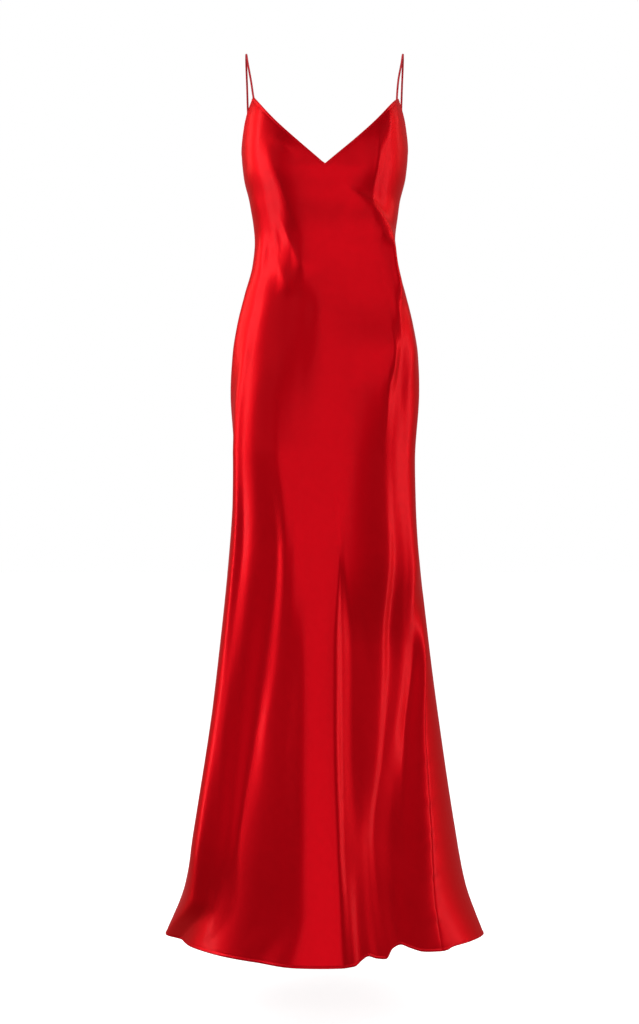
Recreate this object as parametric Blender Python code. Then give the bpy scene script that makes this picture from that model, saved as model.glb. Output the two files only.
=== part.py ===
"""Bias-cut satin slip dress, floor length, filled out as on a wearer who is not there.

Four pieces are cut and sewn: a front and a back, which meet in two side seams, and two
rouleau straps. Frame: metres, +Z up, the front faces -Y, +X is to the right of somebody who
looks at the front, and the origin is midway between the tops of the two straps.

The tables are in millimetres and degrees. A bearing is measured round the dress: 0 is the
centre front, 90 the right side, 180 the centre back and 270 the left side.
"""
import bisect
import math

import bpy
from mathutils import Vector

MM = 0.001

# Driving sizes, mm
HEM_DROP = 1533.0           # shoulder to hem
WALL = 1.5                  # the cloth as a wall
SEAM_GAP = 0.3              # between two pieces that are sewn together
NECK_DROP = 219.0           # shoulder to the bottom of the V
POINT_DROP = 92.0           # shoulder to the two front points, where the straps start
POINT_HALF_WIDTH = 121.0    # centre front to a front point
POINT_BEARING = 66.0
UNDERARM_DROP = 177.0       # shoulder to the top of a side seam
BACK_SEAT_DROP = 185.0      # shoulder to where a strap meets the back
BACK_SEAT_BEARING = 113.0
SCOOP_DROP = 300.0          # shoulder to the lowest point of the back neckline
YOKE_DROP = 345.0           # above this the rows of cloth follow the top edge, below it they are level
STRAP_DIAMETER = 3.6
STRAP_LAP = 14.0            # length of strap sewn inside the top edge
STRAP_LAP_BEARING = 59.0    # where the front lap ends, in line with the run up to the shoulder
STRAP_RISE = 7.0            # how far above the back edge the strap still follows the wall
STRAP_CLEARANCE = 0.8       # between the strap and the smooth inner face, which is faceted here

# The figure under the cloth, from the top down. drop: below the shoulder; side: half the width;
# front and back: depth from the middle; round: exponent of the outline, 2 for an ellipse.
SECTIONS = (
    # drop, side, front, back, round
    (80, 130.0, 111, 96, 2.40),
    (134, 143.0, 118, 101, 2.40),
    (177, 145.0, 124, 103, 2.40),
    (219, 141.5, 125, 101, 2.35),
    (266, 130.5, 114, 94, 2.30),
    (331, 122.0, 95, 87, 2.20),
    (371, 126.0, 92, 88, 2.15),
    (423, 140.0, 94, 98, 2.10),
    (476, 153.0, 98, 110, 2.10),
    (528, 161.0, 102, 119, 2.10),
    (594, 164.5, 107, 126, 2.10),
    (712, 157.5, 116, 128, 2.05),
    (790, 160.0, 124, 133, 2.00),
    (870, 165.5, 132, 141, 2.00),
    (1030, 182.0, 155, 163, 2.00),
    (1190, 203.0, 186, 193, 2.00),
    (1350, 227.0, 218, 226, 2.00),
    (1447, 245.0, 237, 246, 2.00),
    (1533, 280.0, 256, 268, 2.00),
)

# Lines that run down the cloth: the crests and valleys of the folds, the side seams, and the
# columns under the front points and the strap seats. Each has a bearing at every level of
# LEVELS, and from the second level down a rise, which is how far the cloth stands out from the
# figure (+) or falls in (-). strips is how many strips of cloth lie between a line and the next.
LEVELS = (200, 700, 870, 1030, 1190, 1350, 1533)
LINES = (
    # name, strips, bearings, rises
    ("left_seam", 5, (-90, -90, -92, -94, -97, -99, -101), (0, 0, -2, -5, -9, -16)),
    ("left_side", 3, (-66, -76, -79, -83, -87, -89, -90), (0, 0, 0, 0, 0, 0)),
    ("left_hollow", 3, (-54, -48, -49, -56, -64, -75, -70), (0, -3, -6, -10, -16, -24)),
    ("left_trough", 3, (-40, -33, -31, -34, -39, -42, -43), (0, -4, -8, -12, -15, -10)),
    ("left_crest", 4, (-28, -23, -23, -22, -26, -30, -36), (0, 3, 3, 3, 0, -4)),
    ("front_valley", 4, (-14, -17, -17, -13, -11, -10, -26), (0, -1, -4, -6, -9, -20)),
    ("centre", 3, (0, -6, -6, -4, -2, -2, -12), (0, 0, 0, -1, -3, 0)),
    ("centre_valley", 3, (12, 5, 3.5, 3.2, 3, 3.8, 4), (0, -1, -3, -5, -7, -3)),
    ("centre_crest", 3, (24, 21, 20.5, 18.4, 14.4, 11.6, 10.9), (0, 2, 2, 1, -1, -8)),
    ("right_valley", 4, (38, 50, 47.7, 38.7, 29.3, 22.1, 17.6), (-2, -7, -10, -10, -22, -66)),
    ("right_crest", 4, (52, 65, 62.8, 49.7, 38.5, 29.9, 27.4), (0, 4, 5, 0, -16, -62)),
    ("right_trough", 5, (66, 78, 77, 64.5, 58.0, 53.0, 43.0), (0, -5, -14, -30, -58, -104)),
    ("right_seam", 5, (90, 89, 86, 76, 66, 60.5, 52.5), (0, -2, -4, -11, -22, -36)),
    ("right_side", 4, (113, 102, 98, 94, 91, 90, 90), (0, 0, 0, 0, 0, 0)),
    ("back_valley_1", 3, (125, 113, 111, 109, 107, 106, 106), (0, -3, -8, -17, -30, -46)),
    ("back_crest_1", 4, (137, 126, 125, 124, 123, 122, 121), (0, 2, 3, 4, 3, 2)),
    ("back_valley_2", 4, (150, 141, 140, 139, 138, 138, 137), (0, -4, -11, -22, -42, -70)),
    ("back_crest_2", 4, (164, 156, 155, 154, 153, 153, 152), (0, 2, 3, 3, 3, 4)),
    ("back_valley_3", 3, (180, 172, 171, 170, 169, 168, 168), (0, -2, -7, -15, -28, -52)),
    ("back_crest_3", 4, (193, 186, 185, 184, 183, 182, 181), (0, 1, 2, 2, 0, -4)),
    ("back_valley_4", 4, (206, 200, 199, 198, 197, 196, 196), (0, -4, -12, -25, -48, -80)),
    ("back_crest_4", 4, (219, 215, 214, 213, 212, 212, 212), (0, 2, 4, 5, 4, 4)),
    ("back_valley_5", 3, (233, 230, 230, 229, 229, 229, 229), (0, -3, -8, -16, -28, -46)),
    ("back_crest_5", 5, (247, 249, 249, 248, 247, 246, 245), (0, 0, 1, 1, 0, 0)),
)

# How far the cloth rounds out its crests and valleys and steepens the flanks between them, from
# 0 for a plain wave towards 1 for flanks that stand square to the figure.
FULLNESS = 0.4

# Rows of cloth. Above the yoke they are shares of the way from the top edge down to it; below
# they are level, this far apart.
YOKE_ROWS = (0.0, 0.12, 0.28, 0.46, 0.64, 0.82, 1.0)
SKIRT_ROWS = 17

# Middle of the right strap between its two seats: across, towards the back, drop. mm
STRAP_ROUTE = (
    # x, y, drop
    (126.0, -38.0, 58.0),
    (132.5, -17.0, 23.0),
    (136.5, 3.0, 1.8),
    (138.5, 21.0, 14.0),
    (139.5, 33.0, 52.0),
    (138.5, 40.0, 110.0),
)
STRAP_POINTS = 35


def remove_everything():
    for thing in list(bpy.data.objects):
        bpy.data.objects.remove(thing, do_unlink=True)


def slopes(places, values):
    """Slopes of the smooth curve through the values that never overshoots them."""
    steps = [(values[i + 1] - values[i]) / (places[i + 1] - places[i]) for i in range(len(places) - 1)]
    inner = [0.0 if a * b <= 0 else 2 * a * b / (a + b) for a, b in zip(steps, steps[1:])]
    return [steps[0]] + inner + [steps[-1]]


def read_curve(places, values, place):
    """Value at a place on the smooth curve through the values; level beyond its ends."""
    place = min(max(place, places[0]), places[-1])
    i = min(bisect.bisect_right(places, place) - 1, len(places) - 2)
    span = places[i + 1] - places[i]
    u = (place - places[i]) / span
    slope = slopes(places, values)
    return ((1 + 2 * u) * (1 - u) ** 2 * values[i] + u * u * (3 - 2 * u) * values[i + 1]
            + span * u * (1 - u) * ((1 - u) * slope[i] - u * slope[i + 1]))


SECTION_DROPS = [row[0] for row in SECTIONS]


def section(drop):
    """Side, front, back and roundness of the figure at a drop."""
    return [read_curve(SECTION_DROPS, [row[k] for row in SECTIONS], drop) for k in (1, 2, 3, 4)]


def signed_power(value, power):
    return math.copysign(abs(value) ** power, value)


def cloth_point(bearing, drop, rise=0.0):
    """A point of the cloth, in millimetres."""
    side, front, back, roundness = section(drop)
    across, along = math.sin(math.radians(bearing)), math.cos(math.radians(bearing))
    depth = front if along > 0 else back
    return Vector((
        (side + rise) * signed_power(across, 2 / roundness),
        -(depth + rise) * signed_power(along, 2 / roundness),
        -drop,
    ))


def ease(u):
    return u * u * (3 - 2 * u)


def flank(u):
    """Share of the way round from one line to the next, where the rise has gone u of the way."""
    return u + FULLNESS * math.sin(2 * math.pi * u) / (2 * math.pi)


def top_drop(bearing):
    """Drop of the top edge: the V, the armholes and the scooped back neckline."""
    turn = abs((bearing + 180) % 360 - 180)
    if turn <= POINT_BEARING:
        drop = NECK_DROP
        for _ in range(6):
            across = cloth_point(turn, drop).x / POINT_HALF_WIDTH
            drop = NECK_DROP - 106 * across - 21 * across ** 4
        return drop
    if turn <= 90:
        return POINT_DROP + (UNDERARM_DROP - POINT_DROP) * ease((turn - POINT_BEARING) / (90 - POINT_BEARING))
    if turn <= BACK_SEAT_BEARING:
        return UNDERARM_DROP + (BACK_SEAT_DROP - UNDERARM_DROP) * (turn - 90) / (BACK_SEAT_BEARING - 90)
    scoop = math.sin(math.radians(90 * (turn - BACK_SEAT_BEARING) / (180 - BACK_SEAT_BEARING)))
    return BACK_SEAT_DROP + (SCOOP_DROP - BACK_SEAT_DROP) * scoop


def columns():
    """Every column round the dress: its bearings and its rises at the levels."""
    found = {}
    result = []
    for i, (name, strips, bearings, rises) in enumerate(LINES):
        found[name] = len(result)
        last = i + 1 == len(LINES)
        after = LINES[(i + 1) % len(LINES)]
        after_bearings = [b + 360 * last for b in after[2]]
        for k in range(strips):
            u = k / strips
            result.append((
                [b + flank(u) * (c - b) for b, c in zip(bearings, after_bearings)],
                [r + ease(u) * (s - r) for r, s in zip(rises, after[3])],
            ))
    return result, found


def column_points(bearings, rises):
    """One column of cloth from the top edge to the hem, mm."""
    top = top_drop(bearings[0])
    drops = [top + (YOKE_DROP - top) * share for share in YOKE_ROWS]
    drops += [YOKE_DROP + (HEM_DROP - YOKE_DROP) * (k + 1) / SKIRT_ROWS for k in range(SKIRT_ROWS)]
    rise_levels = LEVELS[1:]
    points = []
    for drop in drops:
        bearing = read_curve(LEVELS, bearings, drop)
        rise = read_curve(rise_levels, rises, drop) if drop > rise_levels[0] else (
            rises[0] * ease(max(0.0, (drop - YOKE_DROP) / (rise_levels[0] - YOKE_DROP))))
        points.append(cloth_point(bearing, drop, rise))
    return points


def grid_normals(grid):
    """Outward normals of a grid of columns that closes round the dress."""
    normals = []
    for i, column in enumerate(grid):
        before, after = grid[i - 1], grid[(i + 1) % len(grid)]
        rows = []
        for k in range(len(column)):
            round_way = after[k] - before[k]
            down = column[min(k + 1, len(column) - 1)] - column[max(k - 1, 0)]
            rows.append(down.cross(round_way).normalized())
        normals.append(rows)
    return normals


def cloth_material(name):
    """Red satin, smooth and half glossy."""
    material = bpy.data.materials.new(name)
    material.use_nodes = True
    shader = material.node_tree.nodes["Principled BSDF"]
    shader.inputs["Base Color"].default_value = (0.578, 0.002, 0.012, 1.0)
    shader.inputs["Roughness"].default_value = 0.36
    shader.inputs["Metallic"].default_value = 0.0
    material.diffuse_color = (0.578, 0.002, 0.012, 1.0)
    return material


def pull_edge(edge, inner, gap):
    """The edge column, drawn back towards the column inside it to leave half the seam gap."""
    return [a + (b - a).normalized() * gap for a, b in zip(edge, inner)]


def make_panel(name, grid, normals, first, last):
    """A panel as a closed wall, from column first to column last of the dress."""
    count = len(grid)
    picks = [k % count for k in range(first, last + 1)]
    middle = [grid[k] for k in picks]
    middle[0] = pull_edge(middle[0], middle[1], SEAM_GAP / 2)
    middle[-1] = pull_edge(middle[-1], middle[-2], SEAM_GAP / 2)
    rows = len(middle[0])
    wide = len(picks)

    vertices = []
    for side in (0.5, -0.5):
        for pick, column in zip(picks, middle):
            vertices += [(p + n * (side * WALL)) * MM for p, n in zip(column, normals[pick])]

    def outer(i, k):
        return i * rows + k

    def inner(i, k):
        return wide * rows + i * rows + k

    faces = []
    for i in range(wide - 1):
        for k in range(rows - 1):
            faces.append((outer(i, k), outer(i, k + 1), outer(i + 1, k + 1), outer(i + 1, k)))
            faces.append((inner(i, k), inner(i + 1, k), inner(i + 1, k + 1), inner(i, k + 1)))
        faces.append((outer(i, 0), outer(i + 1, 0), inner(i + 1, 0), inner(i, 0)))
        faces.append((outer(i, rows - 1), inner(i, rows - 1), inner(i + 1, rows - 1), outer(i + 1, rows - 1)))
    for k in range(rows - 1):
        end = wide - 1
        faces.append((outer(0, k), inner(0, k), inner(0, k + 1), outer(0, k + 1)))
        faces.append((outer(end, k), outer(end, k + 1), inner(end, k + 1), inner(end, k)))

    mesh = bpy.data.meshes.new(name)
    mesh.from_pydata([tuple(v) for v in vertices], [], faces)
    mesh.shade_smooth()
    mesh.set_sharp_from_angle(angle=math.radians(50))
    panel = bpy.data.objects.new(name, mesh)
    panel.data.materials.append(cloth_material(name + "_satin"))
    bpy.context.collection.objects.link(panel)
    return panel


def strap_seat(bearing, drop):
    """Middle of the strap where it lies against the inner face of a panel, mm."""
    here = cloth_point(bearing, drop)
    below = cloth_point(bearing, drop + 5)
    beside = cloth_point(bearing + 1, drop)
    normal = (below - here).cross(beside - here).normalized()
    return here - normal * (WALL / 2 + STRAP_CLEARANCE + STRAP_DIAMETER / 2)


def strap_route():
    """Middle line of the right strap from its front seat over the shoulder to its back seat, mm."""
    through = [strap_seat(STRAP_LAP_BEARING, POINT_DROP + STRAP_LAP),
               strap_seat(POINT_BEARING, POINT_DROP + 1)]
    through += [Vector((x, y, -drop)) for x, y, drop in STRAP_ROUTE]
    through += [strap_seat(BACK_SEAT_BEARING, BACK_SEAT_DROP - STRAP_RISE),
                strap_seat(BACK_SEAT_BEARING, BACK_SEAT_DROP + STRAP_LAP)]
    lengths = [0.0]
    for a, b in zip(through, through[1:]):
        lengths.append(lengths[-1] + (b - a).length)
    places = [lengths[-1] * k / (STRAP_POINTS - 1) for k in range(STRAP_POINTS)]
    return [Vector([read_curve(lengths, [p[axis] for p in through], place) for axis in range(3)])
            for place in places]


def make_strap(name, mirror):
    """A rouleau: a thin bias tube turned right side out, sewn inside the top edge at both ends."""
    route = strap_route()
    data = bpy.data.curves.new(name, "CURVE")
    data.dimensions = "3D"
    data.bevel_depth = STRAP_DIAMETER / 2 * MM
    data.bevel_resolution = 2
    data.use_fill_caps = True
    spline = data.splines.new("POLY")
    spline.points.add(len(route) - 1)
    for point, place in zip(spline.points, route):
        point.co = (place.x * mirror * MM, place.y * MM, place.z * MM, 1.0)
    strap = bpy.data.objects.new(name, data)
    data.materials.append(cloth_material(name + "_satin"))
    bpy.context.collection.objects.link(strap)
    return strap


def main():
    remove_everything()
    cloth, found = columns()
    grid = [column_points(bearings, rises) for bearings, rises in cloth]
    normals = grid_normals(grid)
    left, right = found["left_seam"], found["right_seam"]
    make_panel("front", grid, normals, left, right)
    make_panel("back", grid, normals, right, left + len(grid))
    make_strap("strap_left", -1)
    make_strap("strap_right", 1)


main()
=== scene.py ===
# %% [markdown]
# # A bias-cut satin slip dress
#
# The dress is two bias-cut panels, a front and a back, that meet in two side seams, and two thin
# straps. It hangs as on a wearer who is not there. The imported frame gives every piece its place,
# and this lesson makes the cloth that is seen: a fine shell on the same figure, with its folds,
# creases, turned edges and stitching.

# %% Load the frame
import math

import bpy
import numpy as np
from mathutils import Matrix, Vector


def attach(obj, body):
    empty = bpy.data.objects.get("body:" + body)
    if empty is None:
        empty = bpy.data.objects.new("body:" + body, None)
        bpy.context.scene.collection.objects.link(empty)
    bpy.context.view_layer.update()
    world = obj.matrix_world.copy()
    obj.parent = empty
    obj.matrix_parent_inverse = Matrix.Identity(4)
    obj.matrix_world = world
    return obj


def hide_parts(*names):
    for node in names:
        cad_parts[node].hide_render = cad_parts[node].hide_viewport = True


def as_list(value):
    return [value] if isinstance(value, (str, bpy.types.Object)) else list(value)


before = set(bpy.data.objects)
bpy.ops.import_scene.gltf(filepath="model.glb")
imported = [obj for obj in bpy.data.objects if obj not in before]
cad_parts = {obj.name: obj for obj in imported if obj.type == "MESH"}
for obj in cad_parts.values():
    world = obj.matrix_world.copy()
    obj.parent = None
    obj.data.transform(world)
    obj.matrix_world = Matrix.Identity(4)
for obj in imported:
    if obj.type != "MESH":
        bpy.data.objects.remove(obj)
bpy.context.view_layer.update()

MM = 0.001

# %% [markdown]
# ## The camera
#
# A full-length garment is taken from the middle of its height, so the neck is seen a little from
# below and the hem a little from above. The camera is level, because a tilted one would make the
# two sides converge. The lens follows from how much height has to fit in at that distance.

# %% Place the camera
CAMERA_DISTANCE = 2.9       # m, from the middle of the dress
CAMERA_DROP = 0.803         # m, below the strap tops
CAMERA_SIDE = -0.0089       # m, a little left of the middle
VIEW_HEIGHT = 1.792         # m, seen at that distance
SENSOR = 36.0               # mm, the long side


def add_object(name, data):
    """A new object in the scene."""
    thing = bpy.data.objects.new(name, data)
    bpy.context.collection.objects.link(thing)
    return thing


def make_camera():
    """A level camera near the middle of the height of the dress."""
    data = bpy.data.cameras.new("camera")
    data.sensor_width = SENSOR
    data.lens = SENSOR * CAMERA_DISTANCE / VIEW_HEIGHT
    camera = add_object("camera", data)
    camera.location = (CAMERA_SIDE, -CAMERA_DISTANCE, -CAMERA_DROP)
    camera.rotation_euler = (math.radians(90), 0, 0)
    bpy.context.scene.camera = camera
    print("camera lens", round(data.lens, 1), "mm")


make_camera()

# %% [markdown]
# ## The lights
#
# Satin shows its folds by what it mirrors, so its lights are panels with an area, as softboxes are,
# and not points or a sun. Two tall, narrow ones stand square to the sides, the left one the
# stronger: a fold lights up where its face turns halfway to a softbox, and goes dark just past that.
# A broad, weak one behind the camera lights whatever faces it and one hangs above. Two small fills
# lift the dark flanks, and two rims from behind draw the edges. The side softboxes are a little
# blue-green, which makes the brightest red paler.

# %% Light the dress
LIGHTS = (
    # name, place (m), aimed at (m), width, height (m), watts, colour
    ("left_softbox", (-2.4, -0.05, -0.15), (0, 0, -0.45), 0.38, 2.8, 26, "#E2FFFF"),
    ("right_softbox", (2.4, -0.10, -0.40), (0, 0, -0.50), 0.50, 2.5, 14, "#E8FFFF"),
    ("front_softbox", (0.0, -3.9, -0.90), (0, 0, -0.75), 4.6, 4.2, 60, "#FFFFFF"),
    ("top_softbox", (0.0, -0.2, 2.1), (0, 0, -0.2), 2.6, 1.6, 26, "#FFFFFF"),
    ("left_fill", (-2.3, -1.7, 0.35), (0, 0, -0.40), 1.0, 1.4, 2.4, "#FFFFFF"),
    ("right_fill", (2.3, -1.7, 0.35), (0, 0, -0.40), 1.0, 1.4, 1.8, "#FFFFFF"),
    ("left_rim", (-2.2, 1.0, 0.40), (0, 0, -0.40), 0.60, 1.1, 8, "#FFFFFF"),
    ("right_rim", (2.2, 1.0, 0.50), (0, 0, -0.30), 0.60, 0.9, 3, "#FFFFFF"),
)


def hex_to_linear(code):
    """Linear RGBA of an sRGB hex colour."""
    parts = [int(code[i:i + 2], 16) / 255 for i in (1, 3, 5)]
    return tuple(c / 12.92 if c <= 0.04045 else ((c + 0.055) / 1.055) ** 2.4 for c in parts) + (1.0,)


def make_lights():
    """An area light for each row of the table."""
    for name, place, target, width, height, watts, colour in LIGHTS:
        data = bpy.data.lights.new(name, "AREA")
        data.shape = "RECTANGLE"
        data.size = width
        data.size_y = height
        data.energy = watts
        data.color = hex_to_linear(colour)[:3]
        light = add_object(name, data)
        light.location = place
        light.rotation_euler = (Vector(target) - Vector(place)).to_track_quat("-Z", "Y").to_euler()
    print("lights", [row[0] for row in LIGHTS])


make_lights()

# %% [markdown]
# ## The room
#
# Between the softboxes, satin mirrors the pale studio. Walls could be built, but a world that is
# brighter towards the back wall does the same, and it shows no corners from any side.

# %% Make the room
BACK_WALL = 0.50            # brightness of the lit back wall, as a light
ROOM = 0.22                 # and of the rest of the room
WALL_BEGINS, WALL_FULL = -0.15, 0.3     # shares of a direction that point to the back


def add_node(tree, kind, settings=None, links=None):
    """A shader node with its settings; links maps an input to a value or to another node's output."""
    node = tree.nodes.new("ShaderNode" + kind)
    for name, value in (settings or {}).items():
        setattr(node, name, value)
    for name, value in (links or {}).items():
        if isinstance(value, bpy.types.NodeSocket):
            tree.links.new(value, node.inputs[name])
        else:
            node.inputs[name].default_value = value
    return node


def make_room():
    """A pale room, white where the camera looks, its back wall lit brighter than the rest."""
    world = bpy.data.worlds.new("pale_room")
    world.use_nodes = True
    tree = world.node_tree
    place = add_node(tree, "TexCoord")
    split = add_node(tree, "SeparateXYZ", links={"Vector": place.outputs["Generated"]})
    level = add_node(tree, "MapRange", {"interpolation_type": "SMOOTHSTEP"}, {
        "Value": split.outputs["Y"], "From Min": WALL_BEGINS, "From Max": WALL_FULL,
        "To Min": ROOM, "To Max": BACK_WALL})
    path = add_node(tree, "LightPath")
    strength = add_node(tree, "Mix", {"data_type": "FLOAT"}, {
        "Factor": path.outputs["Is Camera Ray"], "A": level.outputs["Result"], "B": 1.0})
    tree.links.new(strength.outputs["Result"], tree.nodes["Background"].inputs["Strength"])
    tree.nodes["Background"].inputs["Color"].default_value = hex_to_linear("#FFFFFF")
    bpy.context.scene.world = world
    bpy.context.scene.view_settings.view_transform = "Standard"
    print("room lit", ROOM, "and its back wall", BACK_WALL)


make_room()

# %% [markdown]
# ## The figure
#
# The dress is a tube round a general figure: a bust, a waist, hips and a flare. It could be draped
# on a dummy by simulation, but a short table of sections says the same and is easy to change. A
# smooth curve joins them. It is monotone between neighbours, so it cannot bulge where they do not.

# %% The sections of the figure
HEM_DROP = 1533.0           # mm below the strap tops, as all drops
SECTIONS = np.array((
    # drop, half width, depth to the front and to the back (mm), roundness (2 is an ellipse)
    (80, 130.0, 111, 96, 2.40),
    (134, 142.5, 118, 101, 2.40),
    (177, 144.5, 124, 103, 2.40),
    (219, 141.0, 125, 101, 2.35),
    (266, 130.0, 114, 94, 2.30),
    (331, 122.0, 95, 87, 2.20),
    (371, 126.0, 92, 88, 2.15),
    (423, 140.0, 94, 98, 2.10),
    (476, 153.0, 98, 110, 2.10),
    (528, 161.0, 102, 119, 2.10),
    (594, 164.5, 107, 126, 2.10),
    (712, 157.5, 116, 128, 2.05),
    (790, 160.0, 124, 133, 2.00),
    (870, 165.5, 132, 141, 2.00),
    (1030, 182.0, 155, 163, 2.00),
    (1190, 203.0, 186, 193, 2.00),
    (1350, 227.0, 218, 226, 2.00),
    (1447, 245.0, 237, 246, 2.00),
    (1533, 280.0, 256, 268, 2.00),
))
BUST, WAIST, HIPS = 2, 5, 10    # their rows in the table

print("figure: bust %.0f, waist %.0f, hips %.0f mm wide" % tuple(2 * SECTIONS[[BUST, WAIST, HIPS], 1]))


# %% Smooth curves and points on the cloth
def smooth(places, values, at):
    """Monotone cubic through values, whose first axis follows places, read at an array of places."""
    places = np.asarray(places, float)
    values = np.asarray(values, float)
    at = np.clip(np.asarray(at, float), places[0], places[-1])
    if values.ndim == 1:
        values = values[:, None] * np.ones((1, at.shape[-1]))
    spans = np.diff(places)
    steps = np.diff(values, axis=0) / spans[:, None]
    product = steps[:-1] * steps[1:]
    total = steps[:-1] + steps[1:]
    # a slope is the harmonic mean of the steps beside it, and level where they turn round
    inner = np.where(product > 0, 2 * product / np.where(total == 0, 1, total), 0)
    slope = np.concatenate([steps[:1], inner, steps[-1:]])
    i = np.clip(np.searchsorted(places, at, "right") - 1, 0, len(places) - 2)
    span = spans[i]
    u = (at - places[i]) / span
    low, high = np.take_along_axis(values, i, 0), np.take_along_axis(values, i + 1, 0)
    slope_low, slope_high = np.take_along_axis(slope, i, 0), np.take_along_axis(slope, i + 1, 0)
    return ((1 + 2 * u) * (1 - u) ** 2 * low + u * u * (3 - 2 * u) * high
            + span * u * (1 - u) * ((1 - u) * slope_low - u * slope_high))


def signed_power(values, power):
    """Power of the sizes of the values, which keep their signs."""
    return np.sign(values) * np.abs(values) ** power


def cloth_points(bearing, drop, rise=0.0):
    """Points of the cloth in mm; bearing in degrees round the dress and drop are 2-D arrays."""
    side, front, back, roundness = (smooth(SECTIONS[:, 0], SECTIONS[:, k], drop) for k in (1, 2, 3, 4))
    across, along = np.sin(np.radians(bearing)), np.cos(np.radians(bearing))
    depth = np.where(along > 0, front, back)
    return np.stack([
        (side + rise) * signed_power(across, 2 / roundness),
        -(depth + rise) * signed_power(along, 2 / roundness),
        -drop,
    ], axis=-1)


print("foot of the front at", cloth_points(np.zeros((1, 1)), np.array([[HEM_DROP]])).ravel(), "mm")

# %% [markdown]
# ## The folds of the skirt
#
# A bias skirt falls in soft folds that start below the hips and deepen to the hem. A simulation
# would find folds of its own, so here each one is placed. Each crest, each valley and each lip where
# a flank begins is a line down the cloth, with a bearing and a rise at a few levels. Round the
# dress, a smooth curve joins the lines. It has no overshoot, so a flank stays a flank, and only a
# crest or a valley is level.

# %% The lines of the folds
LEVELS = (200, 480, 700, 870, 1030, 1190, 1350, 1450, 1533)     # drops, mm
LINES = (
    # name, columns to the next line, bearing at each level (degrees from the front to the right), rise
    # at each level from the third down (mm)
    ("left_seam", 4, (-90, -90, -90, -92, -94, -97, -99, -100, -101), (0, 0, -2, -5, -9, -12, -16)),
    ("left_edge", 6, (-78, -77, -76, -77, -77, -76, -76, -76, -91), (4, 3, 3, 2, 3, 3, -8)),
    ("left_side", 8, (-64, -64, -60, -61, -62, -62, -60, -62, -82), (18.5, 13, 13, 16, 22, 12, -3)),
    ("left_hollow", 8, (-52, -53, -53, -54, -56, -55, -52, -53, -72), (16, 6, 8, 10, 7.5, -4, -24)),
    ("left_ripple", 8, (-42, -43, -44, -47, -49, -47.5, -46, -46.5, -60), (15, 5, 3, -3, -5, -10.5, -20)),
    ("left_trough", 10, (-32, -34, -34, -30, -34, -38.5, -41, -38, -50), (12, 0, -10, -14.5, -12, -14, -21)),
    ("left_lip", 10, (-25, -27, -28, -22.5, -25, -31, -30, -27, -38), (11, 5, -5, -11, -11.5, -14, -20)),
    ("front_valley", 10, (-18, -20, -21, -18, -17, -20, -17, -16, -26), (7, 5, -1.5, -7, -7, -9.5, -18)),
    ("front_crest", 10, (-10, -12, -13, -11, -9.5, -8, -7, -6.5, -10), (2, 2, 2, 2, 0.5, -2, -1.5)),
    ("centre", 8, (1, 2, 2, 8, 4.6, 4.1, 4.9, 5.3, 5.3), (0, -0.2, -1.5, -1, -1, -1.5, -3)),
    ("centre_step", 8, (8, 9, 10, 9.3, 9.8, 9, 8.5, 9.5, 9.5), (2, -0.5, -11.8, -13.2, -10.2, -10.5, -10.5)),
    ("centre_lap", 8, (16, 17, 18, 12, 17, 15, 14, 13.5, 13), (3, -1.2, -22.6, -23.5, -21.5, -20.5, -20)),
    ("right_valley", 10, (28, 28, 27, 28, 29, 25, 18, 17, 17), (3, -2.5, -28.5, -30, -28, -26, -26)),
    ("right_step", 10, (38, 38, 38, 41, 39, 31, 21.5, 21, 21), (3, -1.5, -29, -32.5, -33, -31.5, -32)),
    ("right_lip", 6, (46, 46, 46, 47.5, 46.5, 37, 26, 26, 26), (2, -3.5, -32, -35.5, -38, -36, -36)),
    ("right_crest", 8, (54, 54, 54, 57, 58, 45, 35, 32, 31), (2, 0, -24.5, -35, -41.5, -38, -38)),
    ("right_trough", 14, (66, 66, 66, 66, 66.5, 51.5, 42, 41, 40), (5, 5, -17.5, -35, -38, -31, -33)),
    ("right_seam", 12, (90, 90, 89, 86, 76, 65, 58.5, 54, 50), (0, -2, -2, -12.5, -15, -18, -26)),
    ("right_side", 10, (113, 106, 102, 98, 94, 91, 90, 86, 80), (0, 0, 0, 0, 0, 0, -1)),
    ("back_valley_1", 10, (125, 118, 113, 111, 109, 107, 106, 106, 106), (0, -3, -8, -17, -30, -38, -46)),
    ("back_crest_1", 10, (137, 131, 126, 125, 124, 123, 122, 121, 121), (0, 2, 3, 4, 3, 3, 2)),
    ("back_valley_2", 10, (150, 145, 141, 140, 139, 138, 138, 137, 137), (0, -4, -11, -22, -42, -56, -70)),
    ("back_crest_2", 10, (164, 160, 156, 155, 154, 153, 153, 152, 152), (0, 2, 3, 3, 3, 3, 4)),
    ("back_valley_3", 10, (180, 176, 172, 171, 170, 169, 168, 168, 168), (0, -2, -7, -15, -28, -40, -52)),
    ("back_crest_3", 10, (193, 189, 186, 185, 184, 183, 182, 181, 181), (0, 1, 2, 2, 0, -2, -4)),
    ("back_valley_4", 10, (206, 203, 200, 199, 198, 197, 196, 196, 196), (0, -4, -12, -25, -48, -64, -80)),
    ("back_crest_4", 10, (219, 217, 215, 214, 213, 212, 212, 212, 212), (0, 2, 4, 5, 4, 4, 4)),
    ("back_valley_5", 10, (233, 231, 230, 230, 229, 229, 229, 229, 229), (0, -3, -8, -16, -28, -37, -46)),
    ("back_crest_5", 10, (247, 248, 249, 249, 248, 247, 246, 245, 245), (0, 0, 1, 1, 0, 0, 0)),
)
SEAMS = ("left_seam", "right_seam")
LINE_BEARINGS = np.array([line[2] for line in LINES], float)
LINE_RISES = np.array([(0, 0) + line[3] for line in LINES], float)     # none at the first two levels

print("folds:", len(LINES), "lines, as deep as", LINE_RISES.min(), "mm")

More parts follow.
